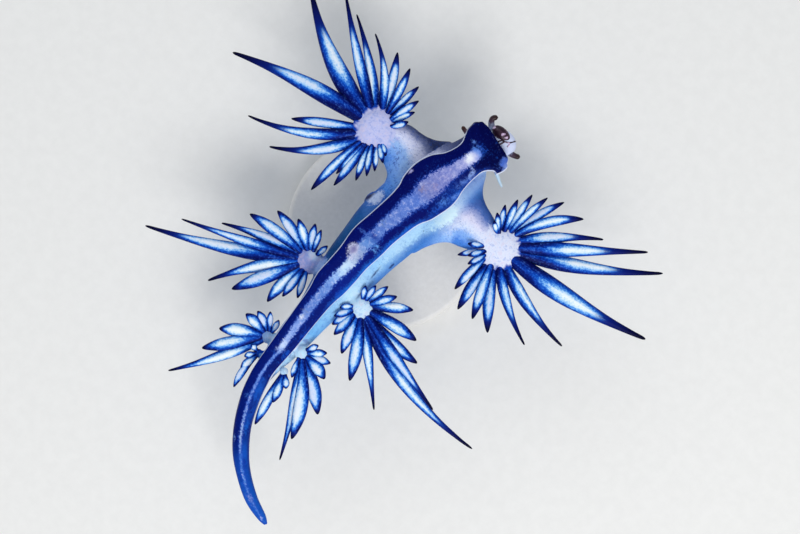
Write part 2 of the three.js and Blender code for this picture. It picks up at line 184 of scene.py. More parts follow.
def blob(bm, middle, radii, segments=32):  # the middle's height is over the middle of the body
    x, y, z = middle
    place = Matrix.Translation((x, y, bodyHeight + z)) @ Matrix.Diagonal((*radii, 1))
    bmesh.ops.create_uvsphere(bm, u_segments=segments, v_segments=segments // 2, radius=1, matrix=place)


def newMesh():
    bm = bmesh.new()
    for name in ("turn", "along"):
        bm.verts.layers.float.new(name)
    return bm


# Puts a mesh in the scene, riding on the body in place of the solids it shows.
def placePiece(name, mesh, material, replaced):
    piece = show(name, mesh)
    mesh.materials.append(material)
    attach(piece, "root")
    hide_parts(*replaced)


def finishPiece(name, bm, material, replaced):  # the same from millimetres
    bmesh.ops.recalc_face_normals(bm, faces=bm.faces)
    bmesh.ops.scale(bm, vec=(mm, mm, mm), verts=bm.verts)
    for face in bm.faces:
        face.smooth = True
    placePiece(name, meshFrom(name, bm), material, replaced)


# Materials

def tone(red, green, blue):  # a colour read off, 0 to 255, as Blender's linear colour
    return tuple(((c / 255 + 0.055) / 1.055) ** 2.4 if c > 10 else c / 3294 for c in (red, green, blue))


class painter:  # builds one material, node by node; each call gives back a socket
    def __init__(self, name):
        self.material = bpy.data.materials.new(name)
        self.material.use_nodes = True
        self.tree = self.material.node_tree
        self.tree.nodes.clear()
        self.shader = self.add("BsdfPrincipled")
        output = self.add("OutputMaterial")
        self.tree.links.new(self.shader.outputs[0], output.inputs[0])
        self.placeSocket = None

    def add(self, kind, **settings):
        node = self.tree.nodes.new("ShaderNode" + kind)
        for key, value in settings.items():
            setattr(node, key, value)
        return node

    def join(self, socket, value):
        if isinstance(value, bpy.types.NodeSocket):
            self.tree.links.new(value, socket)
        elif isinstance(value, tuple) and len(value) == 3 and socket.type == "RGBA":
            socket.default_value = (*value, 1)
        else:
            socket.default_value = value

    def put(self, name, value):
        self.join(self.shader.inputs[name], value)

    def place(self):
        if self.placeSocket is None:
            self.placeSocket = self.add("TexCoord").outputs["Object"]
        return self.placeSocket

    def field(self, name, output="Fac"):
        return self.add("Attribute", attribute_name=name).outputs[output]

    def math(self, operation, a, b=0.5):
        node = self.add("Math", operation=operation)
        self.join(node.inputs[0], a)
        self.join(node.inputs[1], b)
        return node.outputs[0]

    def times(self, a, b):
        return self.math("MULTIPLY", a, b)

    def plus(self, a, b, share=1):  # a and a share of b
        return self.math("ADD", a, b if share == 1 else self.times(b, share))

    def step(self, value, low, high):  # 0 below low, 1 above high, smooth between
        node = self.add("MapRange", interpolation_type="SMOOTHSTEP")
        self.join(node.inputs["Value"], value)
        node.inputs["From Min"].default_value = low
        node.inputs["From Max"].default_value = high
        return node.outputs["Result"]

    def mix(self, share, a, b):
        node = self.add("Mix", data_type="RGBA")
        self.join(node.inputs["Factor"], share)
        self.join(node.inputs[6], a)
        self.join(node.inputs[7], b)
        return node.outputs[2]

    def over(self, colour, share, tint, strength=1):  # a given tint over part of a colour
        return self.mix(share if strength == 1 else self.times(share, strength), colour, tone(*tint))

    def grained(self, colour, grain, strength):  # lighter and darker with the grain
        node = self.add("Mix", data_type="RGBA", blend_type="OVERLAY")
        node.inputs["Factor"].default_value = strength
        self.join(node.inputs[6], colour)
        self.join(node.inputs[7], self.ramp(grain, [(0.3, (0.25, 0.25, 0.25)), (0.7, (0.8, 0.8, 0.8))]))
        return node.outputs[2]

    def ramp(self, value, stops):
        node = self.add("ValToRGB")
        self.join(node.inputs[0], value)
        points = node.color_ramp.elements
        while len(points) < len(stops):
            points.new(0.5)
        for point, (where, colour) in zip(points, stops):
            point.position = where
            point.color = (*colour, 1)
        return node.outputs[0]

    def tones(self, value, rows):  # a ramp; each row is a place and a given colour
        return self.ramp(value, [(where, tone(*tint)) for where, *tint in rows])

    def lengthwise(self, down, rows):  # the same, with places in millimetres down the body
        rows = [(where / bodyLength, *tint) for where, *tint in rows]
        return self.tones(self.times(down, 1 / bodyLength), rows)

    def noise(self, scale, detail=4, roughness=0.6, distortion=0, vector=None):
        node = self.add("TexNoise")
        self.join(node.inputs["Vector"], self.place() if vector is None else vector)
        settings = {"Scale": scale, "Detail": detail, "Roughness": roughness, "Distortion": distortion}
        for name, value in settings.items():
            node.inputs[name].default_value = value
        return node.outputs["Fac"]

    def centred(self, grain):  # noise about 0 instead of a half
        return self.plus(grain, -0.5)

    def vector(self, x, y, z):
        node = self.add("CombineXYZ")
        for socket, value in zip(node.inputs, (x, y, z)):
            self.join(socket, value)
        return node.outputs[0]

    # The last call for a material: its surface, and bumps of a depth in millimetres.
    def finished(self, colour, roughness, shine=0.5, height=None, depth=0, strength=1):
        self.put("Base Color", colour)
        self.put("Roughness", roughness)
        self.put("Specular IOR Level", shine)
        if height is not None:
            node = self.add("Bump")
            node.inputs["Strength"].default_value = strength
            node.inputs["Distance"].default_value = depth * mm
            self.join(node.inputs["Height"], height)
            self.put("Normal", node.outputs[0])
        return self.material


# The flesh: trunk, sole, tail, head, arms, palms, snout and papilla, as rows of x, y, height
# over the middle of the body, half width, rise, drop and roll.
bodyHeight = 10.0
bodyLength = 45.0  # along the curve, with a little to spare
flesh = {
    "voxel": 0.1,
    "smoothing": 6,
    "trunk": [
        (0.85, 10.4, 0, 1.75, 1.3, 1.7, 4), (0.72, 8.9, 0, 2.1, 1.5, 2, 6),
        (0.35, 6.5, 0, 2.75, 1.7, 2.3, 8), (0.12, 3.5, 0, 3, 1.75, 2.4, 8),
        (0.05, 0.3, 0, 3.05, 1.75, 2.4, 8), (0.13, -2.3, 0, 2.75, 1.7, 2.25, 10),
        (0.35, -5.2, 0, 2.45, 1.55, 2, 14), (0.78, -9.4, 0, 1.65, 1.35, 1.7, 14),
        (1, -12.5, 0, 1.42, 1.1, 1.35, 10), (1.18, -15.6, 0.1, 1, 0.95, 1, 6),
    ],
    "tail": [
        (1.45, -17, 0.25, 0.9, 1.12, 1.12), (2.06, -18.61, 0.1, 0.88, 0.98, 0.98),
        (3.19, -20.68, -0.2, 0.78, 0.84, 0.84), (4.64, -22.43, -0.5, 0.74, 0.74, 0.74),
        (6.26, -23.76, -0.9, 0.64, 0.64, 0.64), (8.3, -24.91, -1.3, 0.57, 0.55, 0.55),
        (10.1, -25.45, -1.6, 0.4, 0.42, 0.42), (10.87, -25.66, -1.72, 0.16, 0.16, 0.16),
    ],
    "foot": [  # x, y, height over the rise of the trunk, half width
        (1.47, 12.2, -0.1, 1.68), (1.44, 12.05, -0.05, 2.02), (1.38, 11.8, 0, 2.28),
        (1.29, 11.3, 0.05, 2.5), (1.1, 10.8, 0.1, 2.28), (0.94, 9.8, 0.1, 1.6), (0.8, 8.8, 0.1, 1.58),
        (0.62, 7.8, 0.1, 1.8), (0.4, 6.8, 0.1, 2.25), (0.26, 5.8, 0.1, 2.45), (0.2, 4.8, 0.1, 2.4),
        (0.18, 3.8, 0.1, 2.18), (0.06, 2.9, 0.1, 1.88), (-0.05, 1.9, 0.1, 1.73),
        (-0.22, -0.1, 0.1, 1.66), (-0.28, -1.8, 0.1, 1.7), (-0.17, -3.6, 0.1, 1.51),
        (-0.06, -5.1, 0.1, 1.5), (0, -6.6, 0.1, 1.48), (0.18, -8.1, 0.1, 1.22),
        (0.42, -10.1, 0.08, 1.12), (0.8, -13, 0.02, 1.02), (1.1, -15.6, -0.15, 0.88),
    ],
    "footEnd": [  # where it sinks into the tail: x, y, height, half width
        (1.45, -17, 1.1, 0.85), (2.06, -18.61, 0.72, 0.82), (3.19, -20.68, 0.2, 0.7),
    ],
    "footRise": 0.6,  # middle of the sole over the rise of the trunk
    "footHalf": 0.3,  # half of its thickness
    "footDrop": 3 * 0.3,  # how far it goes down into the trunk
    "footRoll": 0.6,  # of the roll of the trunk
    "head": [
        (0.98, 10.2, 0, 1.9, 1.25, 1.75), (0.98, 10.75, 0, 1.9, 1.2, 1.75),
        (1.15, 11.4, 0, 2.1, 1.2, 1.8), (1.35, 11.95, 0.05, 1.85, 1, 1.6),
        (1.5, 12.45, 0.05, 1.25, 0.75, 1.2),
    ],
    "armRight": [
        (-1.4, 5.5, -0.1, 4, 1.5, 1.7), (-2.27, 5.3, -0.1, 3.45, 1.42, 1.55),
        (-2.85, 5.58, -0.1, 2.87, 1.35, 1.45), (-3.25, 5.9, -0.1, 2.4, 1.25, 1.3),
        (-3.85, 6.02, -0.05, 2.15, 1.1, 1.15), (-4.9, 6.1, 0, 1.9, 0.95, 1),
        (-5.9, 5.8, 0, 1.62, 0.85, 0.9), (-6.7, 5.75, 0, 1.5, 0.8, 0.85),
    ],
    "armLeft": [
        (2, 5.2, 0, 4.6, 1.5, 1.7), (2.75, 5, 0.05, 4.7, 1.45, 1.6), (3.2, 4.68, 0.1, 4.35, 1.4, 1.5),
        (3.52, 4.93, 0.1, 3.62, 1.3, 1.4), (4.04, 5.24, 0.1, 2.84, 1.2, 1.25),
        (4.7, 5.45, 0.15, 2.31, 1.1, 1.15), (5.6, 5.53, 0.2, 1.99, 0.98, 1),
        (6.6, 5.65, 0.2, 1.65, 0.88, 0.9), (8, 5.9, 0.2, 1.5, 0.8, 0.85),
    ],
    "snout": {"middle": (1.85, 12.62, 0.15), "radii": (1.3, 1.08, 1)},
    "papilla": {"middle": (-2.8, 1.1, 0.45), "radii": (0.42, 0.75, 0.5)},
    "brim": (1.25, 0.55),  # round each palm: size and depth, as a share of the palm's
    "palms": {  # size and depth of each kind, as a share of the cluster's
        "front": (1, 0.85),
        "middle": (0.95, 0.6),
        "rear": (0.7, 0.5),
        "hind": (0.6, 0.45),
    },
}

# The clusters of cerata. Each ceras has its bearing in degrees from +X, its reach from the
# middle of the palm, the sideways bend of its middle as a share of that, and its width.
clusters = {
    "front_right": {
        "palm": (-6.71, 5.72, 0), "radius": 1.74, "depth": 0.95, "palmTone": (190, 196, 240),
        "fore": [
            (160, 13.78, 0.068, 1.75), (148, 12.31, 0.015, 1.05), (145, 10.24, -0.036, 0.96),
            (136, 8.27, -0.09, 0.87), (120, 6.92, -0.035, 0.78), (106, 5.96, -0.025, 0.7),
            (90, 5.17, 0.012, 0.61), (78, 4.34, 0.004, 0.61), (68, 3.59, 0.013, 0.52),
            (56, 2.8, -0.034, 0.52),
        ],
        "aft": [
            (-27, 2.55, 0.011, 0.5), (-35, 3.09, -0.002, 0.5), (-48, 3.75, 0.001, 0.5),
            (-57, 4.27, -0.02, 0.52), (-67, 4.88, -0.018, 0.61), (-82, 6.21, 0.013, 0.7),
            (-87, 5.3, -0.002, 0.61), (-92, 7.82, -0.027, 0.78), (-126, 9.53, 0.098, 1.13),
            (-141, 11.29, 0.086, 1.04), (-142, 7.53, 0.001, 0.78), (-163, 14.25, -0.038, 1.6),
        ],
    },
    "front_left": {
        "palm": (8, 5.91, 0.2), "radius": 1.74, "depth": 0.95, "palmTone": (220, 228, 251),
        "fore": [
            (145, 2.3, -0.039, 0.5), (138, 2.96, -0.029, 0.52), (126, 3.7, 0.012, 0.52),
            (113, 4.41, 0.013, 0.61), (102, 5.41, 0.009, 0.61), (90, 6.03, 0.031, 0.61),
            (79, 6.95, 0.05, 0.7), (63, 7.79, 0.094, 0.87), (49, 9.24, 0.051, 1.13),
            (43, 13.06, -0.003, 1.3), (36, 14.72, -0.039, 1.39), (13, 15.16, -0.036, 1.75),
        ],
        "aft": [
            (-12, 10.33, -0.059, 1.13), (-30, 8.82, -0.062, 0.96), (-52, 7.53, -0.032, 0.96),
            (-65, 6.66, -0.008, 0.87), (-78, 6.47, -0.013, 0.87), (-91, 5.29, -0.034, 0.7),
            (-106, 3.08, 0.006, 0.5), (-119, 2.81, 0.002, 0.5), (-124, 3.63, -0.002, 0.52),
            (-141, 2.71, 0.018, 0.5),
        ],
    },
    "middle_right": {
        "palm": (-2.75, -6.52, -0.1), "radius": 1.04, "depth": 0.85, "palmTone": (140, 152, 210),
        "fore": [
            (-147, 14.86, 0.026, 1.3), (-153, 11.78, 0.009, 0.96), (-158, 8.42, -0.04, 1.04),
            (-173, 6.63, -0.034, 0.96), (168, 5.21, -0.039, 0.87), (150, 3.78, -0.023, 0.78),
            (126, 3.26, 0.033, 0.7), (114, 2.89, -0.005, 0.5), (84, 2.05, 0, 0.5),
        ],
        "aft": [
            (-63, 3.44, -0.005, 0.61), (-82, 3.91, 0.004, 0.7), (-91, 5.17, -0.047, 0.96),
            (-115, 7.24, -0.001, 1.13), (-124, 9.13, -0.044, 1.22),
        ],
    },
    "middle_left": {
        "palm": (3.3, -6.21, 0.8), "radius": 0.95, "depth": 0.85, "palmTone": (198, 228, 250),
        "fore": [
            (123, 1.95, 0, 0.5), (101, 2.32, 0.006, 0.52), (83, 2.98, 0.003, 0.61),
            (62, 3.27, 0.013, 0.7), (42, 4.53, 0.029, 0.87), (14, 5.58, 0.029, 1.04),
            (0, 6.89, -0.045, 1.04), (-10, 10.86, -0.003, 1.04), (-7, 15.75, -0.074, 1.22),
        ],
        "aft": [
            (-38, 9.02, 0.008, 0.96), (-54, 6.44, 0.03, 1.04), (-68, 4.36, -0.018, 0.87),
            (-90, 3.32, 0, 0.78), (-105, 2.92, -0.005, 0.7), (-118, 2.45, 0.005, 0.61),
            (-135, 1.85, -0.05, 0.5),
        ],
    },
    "rear_right": {
        "palm": (-0.65, -13.74, 0.1), "radius": 0.75, "depth": 0.75, "palmTone": (124, 162, 216),
        "whole": [
            (101, 1.75, -0.044, 0.5), (129, 2.2, -0.018, 0.52), (157, 2.4, -0.065, 0.7),
            (179, 2.75, -0.042, 0.87), (-144, 4.33, -0.03, 1.1), (-125, 5.85, -0.005, 1.04),
            (-116, 9.3, 0.026, 1.04),
        ],
    },
    "rear_left": {
        "palm": (2.45, -12.6, 1), "radius": 0.8, "depth": 0.75, "palmTone": (176, 214, 246),
        "whole": [
            (69, 1.6, 0.026, 0.5), (45, 2.2, 0, 0.61), (25, 2.65, -0.009, 0.7),
            (-4, 3, 0.062, 0.96), (-31, 5.55, 0.037, 1.13), (-52, 7.55, 0.064, 1.13),
            (-57, 9.6, 0.024, 0.96), (-67, 2.3, -0.024, 0.52),
        ],
    },
    "hind_right": {
        "palm": (-0.15, -15.3, 0.2), "radius": 0.55, "depth": 0.6,
        "whole": [
            (175, 1, 0, 0.5), (-123, 1.3, -0.056, 0.52), (-95, 2.1, -0.025, 0.66),
            (-82, 3.7, -0.06, 0.61),
        ],
    },
    "hind_left": {
        "palm": (2.5, -14.85, 0.85), "radius": 0.55, "depth": 0.6, "palmTone": (170, 208, 244),
        "whole": [
            (-38, 1.5, 0.017, 0.61), (-65, 2.85, 0.03, 0.7), (-74, 5.3, -0.004, 0.78),
        ],
    },
}


def raised(rows):
    return [(x, y, bodyHeight + z, *rest) for x, y, z, *rest in rows]


def along(rows, index, y):  # a column of the rows where the y of the body is reached
    low, high = 0.0, 1.0
    for _ in range(30):
        middle = (low + high) / 2
        if follow(rows, middle)[1] > y:
            low = middle
        else:
            high = middle
    return follow(rows, low)[index]


def soleRows():
    rows = []
    for x, y, z, half in flesh["foot"]:
        trunkRise = along(flesh["trunk"], 4, y)
        roll = flesh["footRoll"] * along(flesh["trunk"], 6, y)
        middle = bodyHeight + trunkRise + flesh["footRise"] + z
        rows.append((x, y, middle, half, flesh["footHalf"], flesh["footDrop"], roll))
    for x, y, z, half in flesh["footEnd"]:
        rows.append((x, y, bodyHeight + z, half, flesh["footHalf"], flesh["footHalf"], 0))
    return rows


def fleshShape():
    bm = newMesh()
    loftTube(bm, raised(flesh["trunk"] + flesh["tail"]), sides=40, rings=90, corner=0.88)
    loftTube(bm, soleRows(), sides=40, rings=80, corner=0.6)
    loftTube(bm, raised(flesh["head"]), sides=40, rings=20)
    for side, way in (("armRight", -1), ("armLeft", 1)):
        loftTube(bm, raised(flesh[side]), sides=48, rings=40, facing=(way, 0, 0))
    for name, cluster in clusters.items():
        size, deep = flesh["palms"][name.split("_")[0]]
        radius = cluster["radius"] * size
        depth = cluster["depth"] * deep
        for wider, flatter in ((1, 1), flesh["brim"]):
            blob(bm, cluster["palm"], (radius * wider, radius * wider, depth * flatter))
    for part in ("snout", "papilla"):
        blob(bm, **flesh[part])
    bmesh.ops.recalc_face_normals(bm, faces=bm.faces)
    return meshFrom("fleshShape", bm)


# Fuses the lofts into one skin: a fine voxel remesh, in millimetres, then smoothed.
def fuseSkin():
    source = fleshShape()
    shape = show("fleshShape", source)
    remesh = shape.modifiers.new("remesh", "REMESH")
    remesh.mode = "VOXEL"
    remesh.voxel_size = flesh["voxel"]
    remesh.use_smooth_shade = True
    smooth = shape.modifiers.new("smooth", "SMOOTH")
    smooth.factor = 0.5
    smooth.iterations = flesh["smoothing"]
    depsgraph = bpy.context.evaluated_depsgraph_get()
    skin = bpy.data.meshes.new_from_object(shape.evaluated_get(depsgraph))
    skin.name = "slugSkin"
    bpy.data.objects.remove(shape)
    bpy.data.meshes.remove(source)
    return skin


def eased(value, low, high):  # 0 below low, 1 above high, for arrays
    t = np.clip((value - low) / (high - low), 0, 1)
    return t * t * (3 - 2 * t)


# Where points lie beside a line through rows: millimetres down the line from its start,
# millimetres off it, to the right as it runs, and the half width there.
def beside(points, rows):
    steps = 500
    atOnce = 20000  # points
    line = np.array([follow(rows, i / (steps - 1)) for i in range(steps)])
    spots, halves = line[:, :2], line[:, 3]
    lengths = np.concatenate([[0], np.cumsum(np.linalg.norm(np.diff(spots, axis=0), axis=1))])
    ahead = np.gradient(spots, axis=0)
    ahead /= np.linalg.norm(ahead, axis=1)[:, None]
    down, off, half = [np.empty(len(points)) for _ in range(3)]
    for start in range(0, len(points), atOnce):
        some = slice(start, start + atOnce)
        part = points[some, :2]
        nearest = ((part[:, None, :] - spots[None]) ** 2).sum(axis=2).argmin(axis=1)
        away = part - spots[nearest]
        way = ahead[nearest]
        down[some] = lengths[nearest] + (away * way).sum(axis=1)
        off[some] = away[:, 1] * way[:, 0] - away[:, 0] * way[:, 1]
        half[some] = halves[nearest]
    return down, off, half


def addField(mesh, name, values):
    mesh.attributes.new(name, "FLOAT", "POINT").data.foreach_set("value", values.astype(np.float32))


# The pattern. Places are millimetres down the body from the lips' line, and millimetres off its
# middle line towards the animal's left; colours are read off, 0 to 255.
pattern = {
    "start": 0.55,  # where the foot begins
    "stripe": [  # down, middle, half width
        (2, 0.03, 0.05), (2.5, 0.08, 0.47), (3, 0.05, 0.55), (4, -0.02, 0.55), (5, -0.03, 0.62),
        (6, -0.05, 0.8), (7, 0, 1), (8, -0.02, 1.02), (9, 0, 0.82), (10, -0.1, 0.78),
        (11, 0, 0.68), (13, -0.04, 0.55), (14, 0.1, 0.6), (15, 0.02, 0.58), (17, 0.1, 0.5),
        (18, -0.02, 0.46), (20, -0.07, 0.44), (22, -0.12, 0.42), (24, -0.05, 0.36),
        (26.4, 0.03, 0.28), (26.9, 0.1, 0.18), (27.2, 0.02, 0.15), (36, 0, 0.15), (44, 0, 0.1),
    ],
    "stripeTones": [
        (2, 60, 112, 214), (2.6, 160, 176, 236), (3.1, 200, 208, 246), (3.7, 168, 172, 226),
        (4.6, 134, 144, 208), (6.2, 126, 134, 200), (8, 116, 128, 192), (9.2, 88, 122, 206),
        (12, 98, 128, 204), (13.4, 94, 128, 206), (14, 56, 90, 176), (14.7, 92, 138, 212),
        (16.2, 150, 166, 206), (17.4, 190, 216, 247), (18.6, 138, 176, 238), (20, 98, 138, 214),
        (22.2, 92, 128, 206), (24.4, 126, 156, 228), (26.4, 158, 184, 240), (27, 84, 126, 212),
        (29, 104, 142, 222), (32, 76, 116, 204), (35, 150, 176, 226), (36.8, 50, 108, 202),
        (40.5, 74, 124, 208), (44, 36, 98, 196),
    ],
    "rightTones": [  # the dark band on the animal's right
        (0.6, 1, 4, 62), (3, 1, 8, 80), (9, 1, 8, 84), (14, 2, 12, 94), (20, 2, 18, 104),
        (27, 2, 20, 106), (35.5, 3, 24, 110), (37.5, 14, 62, 160), (41, 24, 84, 188), (44, 20, 76, 178),
    ],
    "leftTones": [
        (0.6, 1, 4, 58), (3, 2, 7, 70), (4.5, 8, 22, 100), (6.5, 12, 38, 124), (9, 5, 16, 98),
        (12, 3, 14, 100), (15, 3, 16, 108), (18.5, 4, 30, 130), (21, 3, 24, 114),
        (27.5, 2, 22, 104), (29.4, 4, 28, 112), (30.5, 16, 74, 172), (31.6, 5, 34, 122),
        (33, 14, 68, 166), (34.6, 5, 34, 122), (36.6, 18, 78, 180), (38, 14, 66, 166),
        (44, 26, 92, 192),
    ],
    "leftEdgeTones": [  # beside the left rim
        (1.5, 2, 8, 72), (4.5, 18, 52, 144), (6.3, 30, 80, 176), (8.5, 10, 34, 124),
        (10.5, 24, 84, 186), (13, 24, 90, 194), (19.5, 28, 98, 200), (22, 8, 34, 128),
        (29.5, 6, 20, 104), (31, 20, 74, 172), (34.6, 8, 30, 118), (44, 26, 90, 188),
    ],
    "leftFlank": [  # beside the rim on the animal's left: partly its own pale blue, partly painted light on the side turned to the light
        (2.6, 150, 180, 226), (4, 132, 164, 222), (5.4, 150, 184, 232), (6.4, 186, 214, 246),
        (7.6, 212, 238, 252), (9.5, 172, 216, 251), (13, 178, 220, 251), (16, 156, 208, 249),
        (18.8, 186, 226, 251),
        (21, 150, 204, 248), (24, 112, 180, 240), (26.2, 184, 226, 247), (28.5, 140, 192, 242),
        (31, 50, 110, 196), (35, 24, 80, 176),
    ],
    # painted shade away from the rim, where the left flank turns down
    "leftFlankLow": (66, 124, 204),
    "rightFlank": [
        # the animal's right flank, painted darker: painted shade on the side turned from the light, over its
        # own blue
        (2.6, 52, 62, 104), (5, 104, 110, 156), (6.2, 184, 190, 224), (7.5, 176, 192, 234),
        (9, 96, 150, 226), (10.5, 52, 112, 192), (12, 112, 158, 216), (13.6, 40, 98, 164),
        (17, 20, 68, 126), (20, 36, 86, 156), (24, 58, 118, 200), (27.5, 96, 156, 220),
        (31, 22, 60, 140), (36, 20, 60, 140),
    ],
    # painted shade away from the rim, where the right flank turns down
    "rightFlankLow": (22, 56, 112),
    # from the aft edge of an arm, 0, to its fore edge, 1: partly the arm's own colour, with a painted
    # highlight in the pale band and painted shade darkening towards the fore edge
    "armRight": [
        (0, 36, 96, 188), (0.12, 78, 138, 226), (0.3, 118, 164, 235), (0.5, 150, 185, 238),
        (0.64, 214, 220, 248), (0.76, 200, 204, 234), (0.88, 108, 118, 160), (1, 40, 50, 92),
    ],
    "armLeft": [
        (0, 56, 116, 198), (0.14, 78, 136, 228), (0.3, 142, 184, 246), (0.44, 214, 226, 252),
        (0.58, 220, 220, 247), (0.7, 170, 178, 222), (0.84, 78, 110, 182), (1, 40, 76, 146),
    ],
    # each mark: down, off, half length, half width, strength and colour
    "soleMarks": [
        (2.15, -0.1, 0.75, 0.85, 0.46, 28, 82, 198), (2.55, -0.1, 0.32, 0.6, 0.45, 104, 154, 232),
        (2.9, 0.1, 0.35, 0.4, 0.6, 186, 190, 236), (3.4, -0.15, 0.42, 0.4, 0.85, 238, 243, 254),
        (3.7, 0.75, 0.2, 0.5, 0.6, 150, 172, 232), (4.05, 1.25, 0.3, 0.35, 0.55, 150, 176, 232),
        (2.2, -1.05, 0.14, 0.4, 0.5, 90, 132, 210), (0.95, 2, 0.5, 0.6, 0.9, 70, 104, 196),
        (1.05, 2.3, 0.3, 0.25, 0.6, 150, 172, 226), (0.7, 0.3, 0.15, 1.2, 0.3, 120, 130, 190),
        (5.2, 0.1, 1.3, 0.6, 0.3, 184, 170, 214), (7.3, 0.2, 1.1, 0.7, 0.42, 150, 140, 184),
        (8.2, -0.45, 0.5, 0.4, 0.5, 134, 124, 158), (6.4, 1.5, 2.6, 0.7, 0.36, 40, 92, 196),
        (4.9, 1.3, 0.7, 0.3, 0.42, 96, 130, 208), (6.3, 1.95, 0.6, 0.2, 0.55, 96, 140, 226),
        (7.6, 1.75, 0.5, 0.4, 0.42, 84, 136, 218), (8.6, 1.75, 0.7, 0.4, 0.36, 26, 80, 190),
        (6.5, -1.4, 2.2, 0.5, 0.3, 24, 64, 160), (7.9, -2.15, 0.25, 0.14, 0.8, 160, 158, 204),
        (12.6, -0.25, 0.4, 0.4, 0.45, 110, 130, 160), (14.05, 0.1, 0.3, 0.6, 0.6, 24, 50, 142),
        (14.4, -0.85, 0.25, 0.55, 0.55, 64, 104, 196), (14.6, 0.85, 0.4, 0.45, 0.55, 90, 148, 226),
        (13.6, 1.4, 1.2, 0.3, 0.5, 18, 78, 190), (15.9, -0.55, 0.7, 0.5, 0.75, 196, 200, 230),
        (16, -0.5, 0.32, 0.24, 0.8, 104, 100, 160), (19.6, 1.1, 1, 0.4, 0.6, 14, 68, 180),
        (16.7, -0.1, 0.5, 0.35, 0.6, 196, 202, 232), (17.8, 0.05, 0.8, 0.38, 0.7, 190, 222, 250),
        (22.7, -0.25, 0.4, 0.35, 0.45, 130, 146, 178), (23.3, -0.2, 0.3, 0.25, 0.7, 212, 222, 244),
        (26.3, -0.05, 0.6, 0.35, 0.7, 196, 216, 251), (24.4, 0.8, 0.9, 0.3, 0.6, 12, 64, 172),
        (26.6, 0.7, 0.7, 0.35, 0.65, 16, 74, 184), (27.1, -0.3, 0.4, 0.3, 0.5, 24, 80, 186),
        (31.1, 0.45, 0.9, 0.3, 0.7, 16, 78, 182), (31.5, -0.4, 0.4, 0.25, 0.45, 60, 110, 200),
        (32.7, 0.4, 0.6, 0.3, 0.6, 4, 20, 110), (34.3, 0.4, 0.8, 0.3, 0.65, 18, 84, 186),
        (35.3, -0.55, 0.4, 0.2, 0.5, 110, 146, 214), (34.9, -0.05, 0.9, 0.2, 0.35, 150, 186, 238),
        (37.6, 0.3, 0.7, 0.25, 0.6, 12, 50, 150), (38.8, -0.3, 0.6, 0.2, 0.6, 14, 56, 154),
        (40.7, -0.05, 0.7, 0.3, 0.5, 140, 150, 206), (42, 0.2, 0.7, 0.2, 0.5, 16, 70, 176),
    ],
    "flankMarks": [
        (7.6, -4.05, 0.7, 0.3, 0.46, 18, 40, 124), (8.2, -3.7, 0.5, 0.25, 0.42, 24, 52, 140),
        (8.3, 4, 0.5, 0.3, 0.36, 40, 80, 160), (8, 2.85, 1.3, 0.65, 0.9, 212, 240, 252),
        (10.6, 2.45, 2.2, 0.5, 0.5, 178, 224, 252), (14.5, 2.3, 2.6, 0.4, 0.45, 184, 224, 252),
        (5, 3.4, 0.8, 0.7, 0.5, 66, 94, 168), (11.7, -2.35, 0.85, 0.5, 0.85, 186, 204, 242),
        # the first mark here, a dark slit beside the papilla, is painted shade in the slit
        (12.1, -2.85, 0.6, 0.18, 0.9, 14, 18, 74), (19.1, 2.1, 1, 0.75, 0.85, 192, 230, 251),
        (18.6, -2.75, 0.45, 0.55, 0.85, 200, 230, 250), (19, -1.75, 0.8, 0.35, 0.7, 150, 186, 238),
        (26.1, 1.6, 1.3, 0.6, 0.85, 188, 228, 250), (26.1, -1.2, 0.9, 0.32, 0.8, 180, 218, 246),
        # the last three marks, thin dark lines on the left flank, are painted shade in fine wrinkles
        (28, 1.4, 0.5, 0.5, 0.8, 196, 230, 250), (14.8, 2.9, 0.6, 0.1, 0.8, 30, 62, 124),
        (16.4, 2.25, 0.7, 0.09, 0.8, 30, 62, 124), (18.6, 2.5, 0.35, 0.09, 0.7, 30, 62, 124),
    ],
    "warp": (0.28, 1.4),  # how far the marks are pulled out of round, mm, and how finely
    "seed": 5,
    "tailFrom": 28.5,  # where the sole goes over into the round tail
    "rims": {"left": (34, 30), "right": (30.5, 28.5), "rightStart": (1.7, 2.6)},  # where the pale rims fade
    "arms": {"out": (1.5, 2.9), "rear": (-1.5, 1.5), "front": (-10.5, -8.5)},  # x and y that they fade over
    "tints": {
        # the web's tint: the blue web round the cerata roots, darkened as painted shade between them
        "lips": (208, 218, 248), "web": (10, 62, 170), "rim": (216, 224, 248),
        "cloud": (26, 84, 190), "speck": (34, 78, 180), "mottle": (70, 112, 190),
        "stripePale": (206, 208, 244), "stripeDark": (60, 96, 188), "stripeEdge": (30, 72, 180),
        "dots": (30, 62, 124), "flecks": (40, 70, 150), "silver": (160, 180, 210), "dull": (110, 136, 180),
        "palmRosy": (204, 184, 216), "palmBlue": (128, 152, 216),
    },
    "grains": {  # scale, detail, roughness and pull of each noise
        "coarse": (1100, 5, 0.65), "fine": (5600, 4, 0.75), "blotch": (2600, 5, 0.75, 0.4),
        "dots": (8000, 2), "flecks": (3800, 4, 0.7), "dust": (4300, 5, 0.8),
    },
    "finish": {"roughness": 0.36, "shine": 0.025, "depth": 0.04, "strength": 0.6},
}


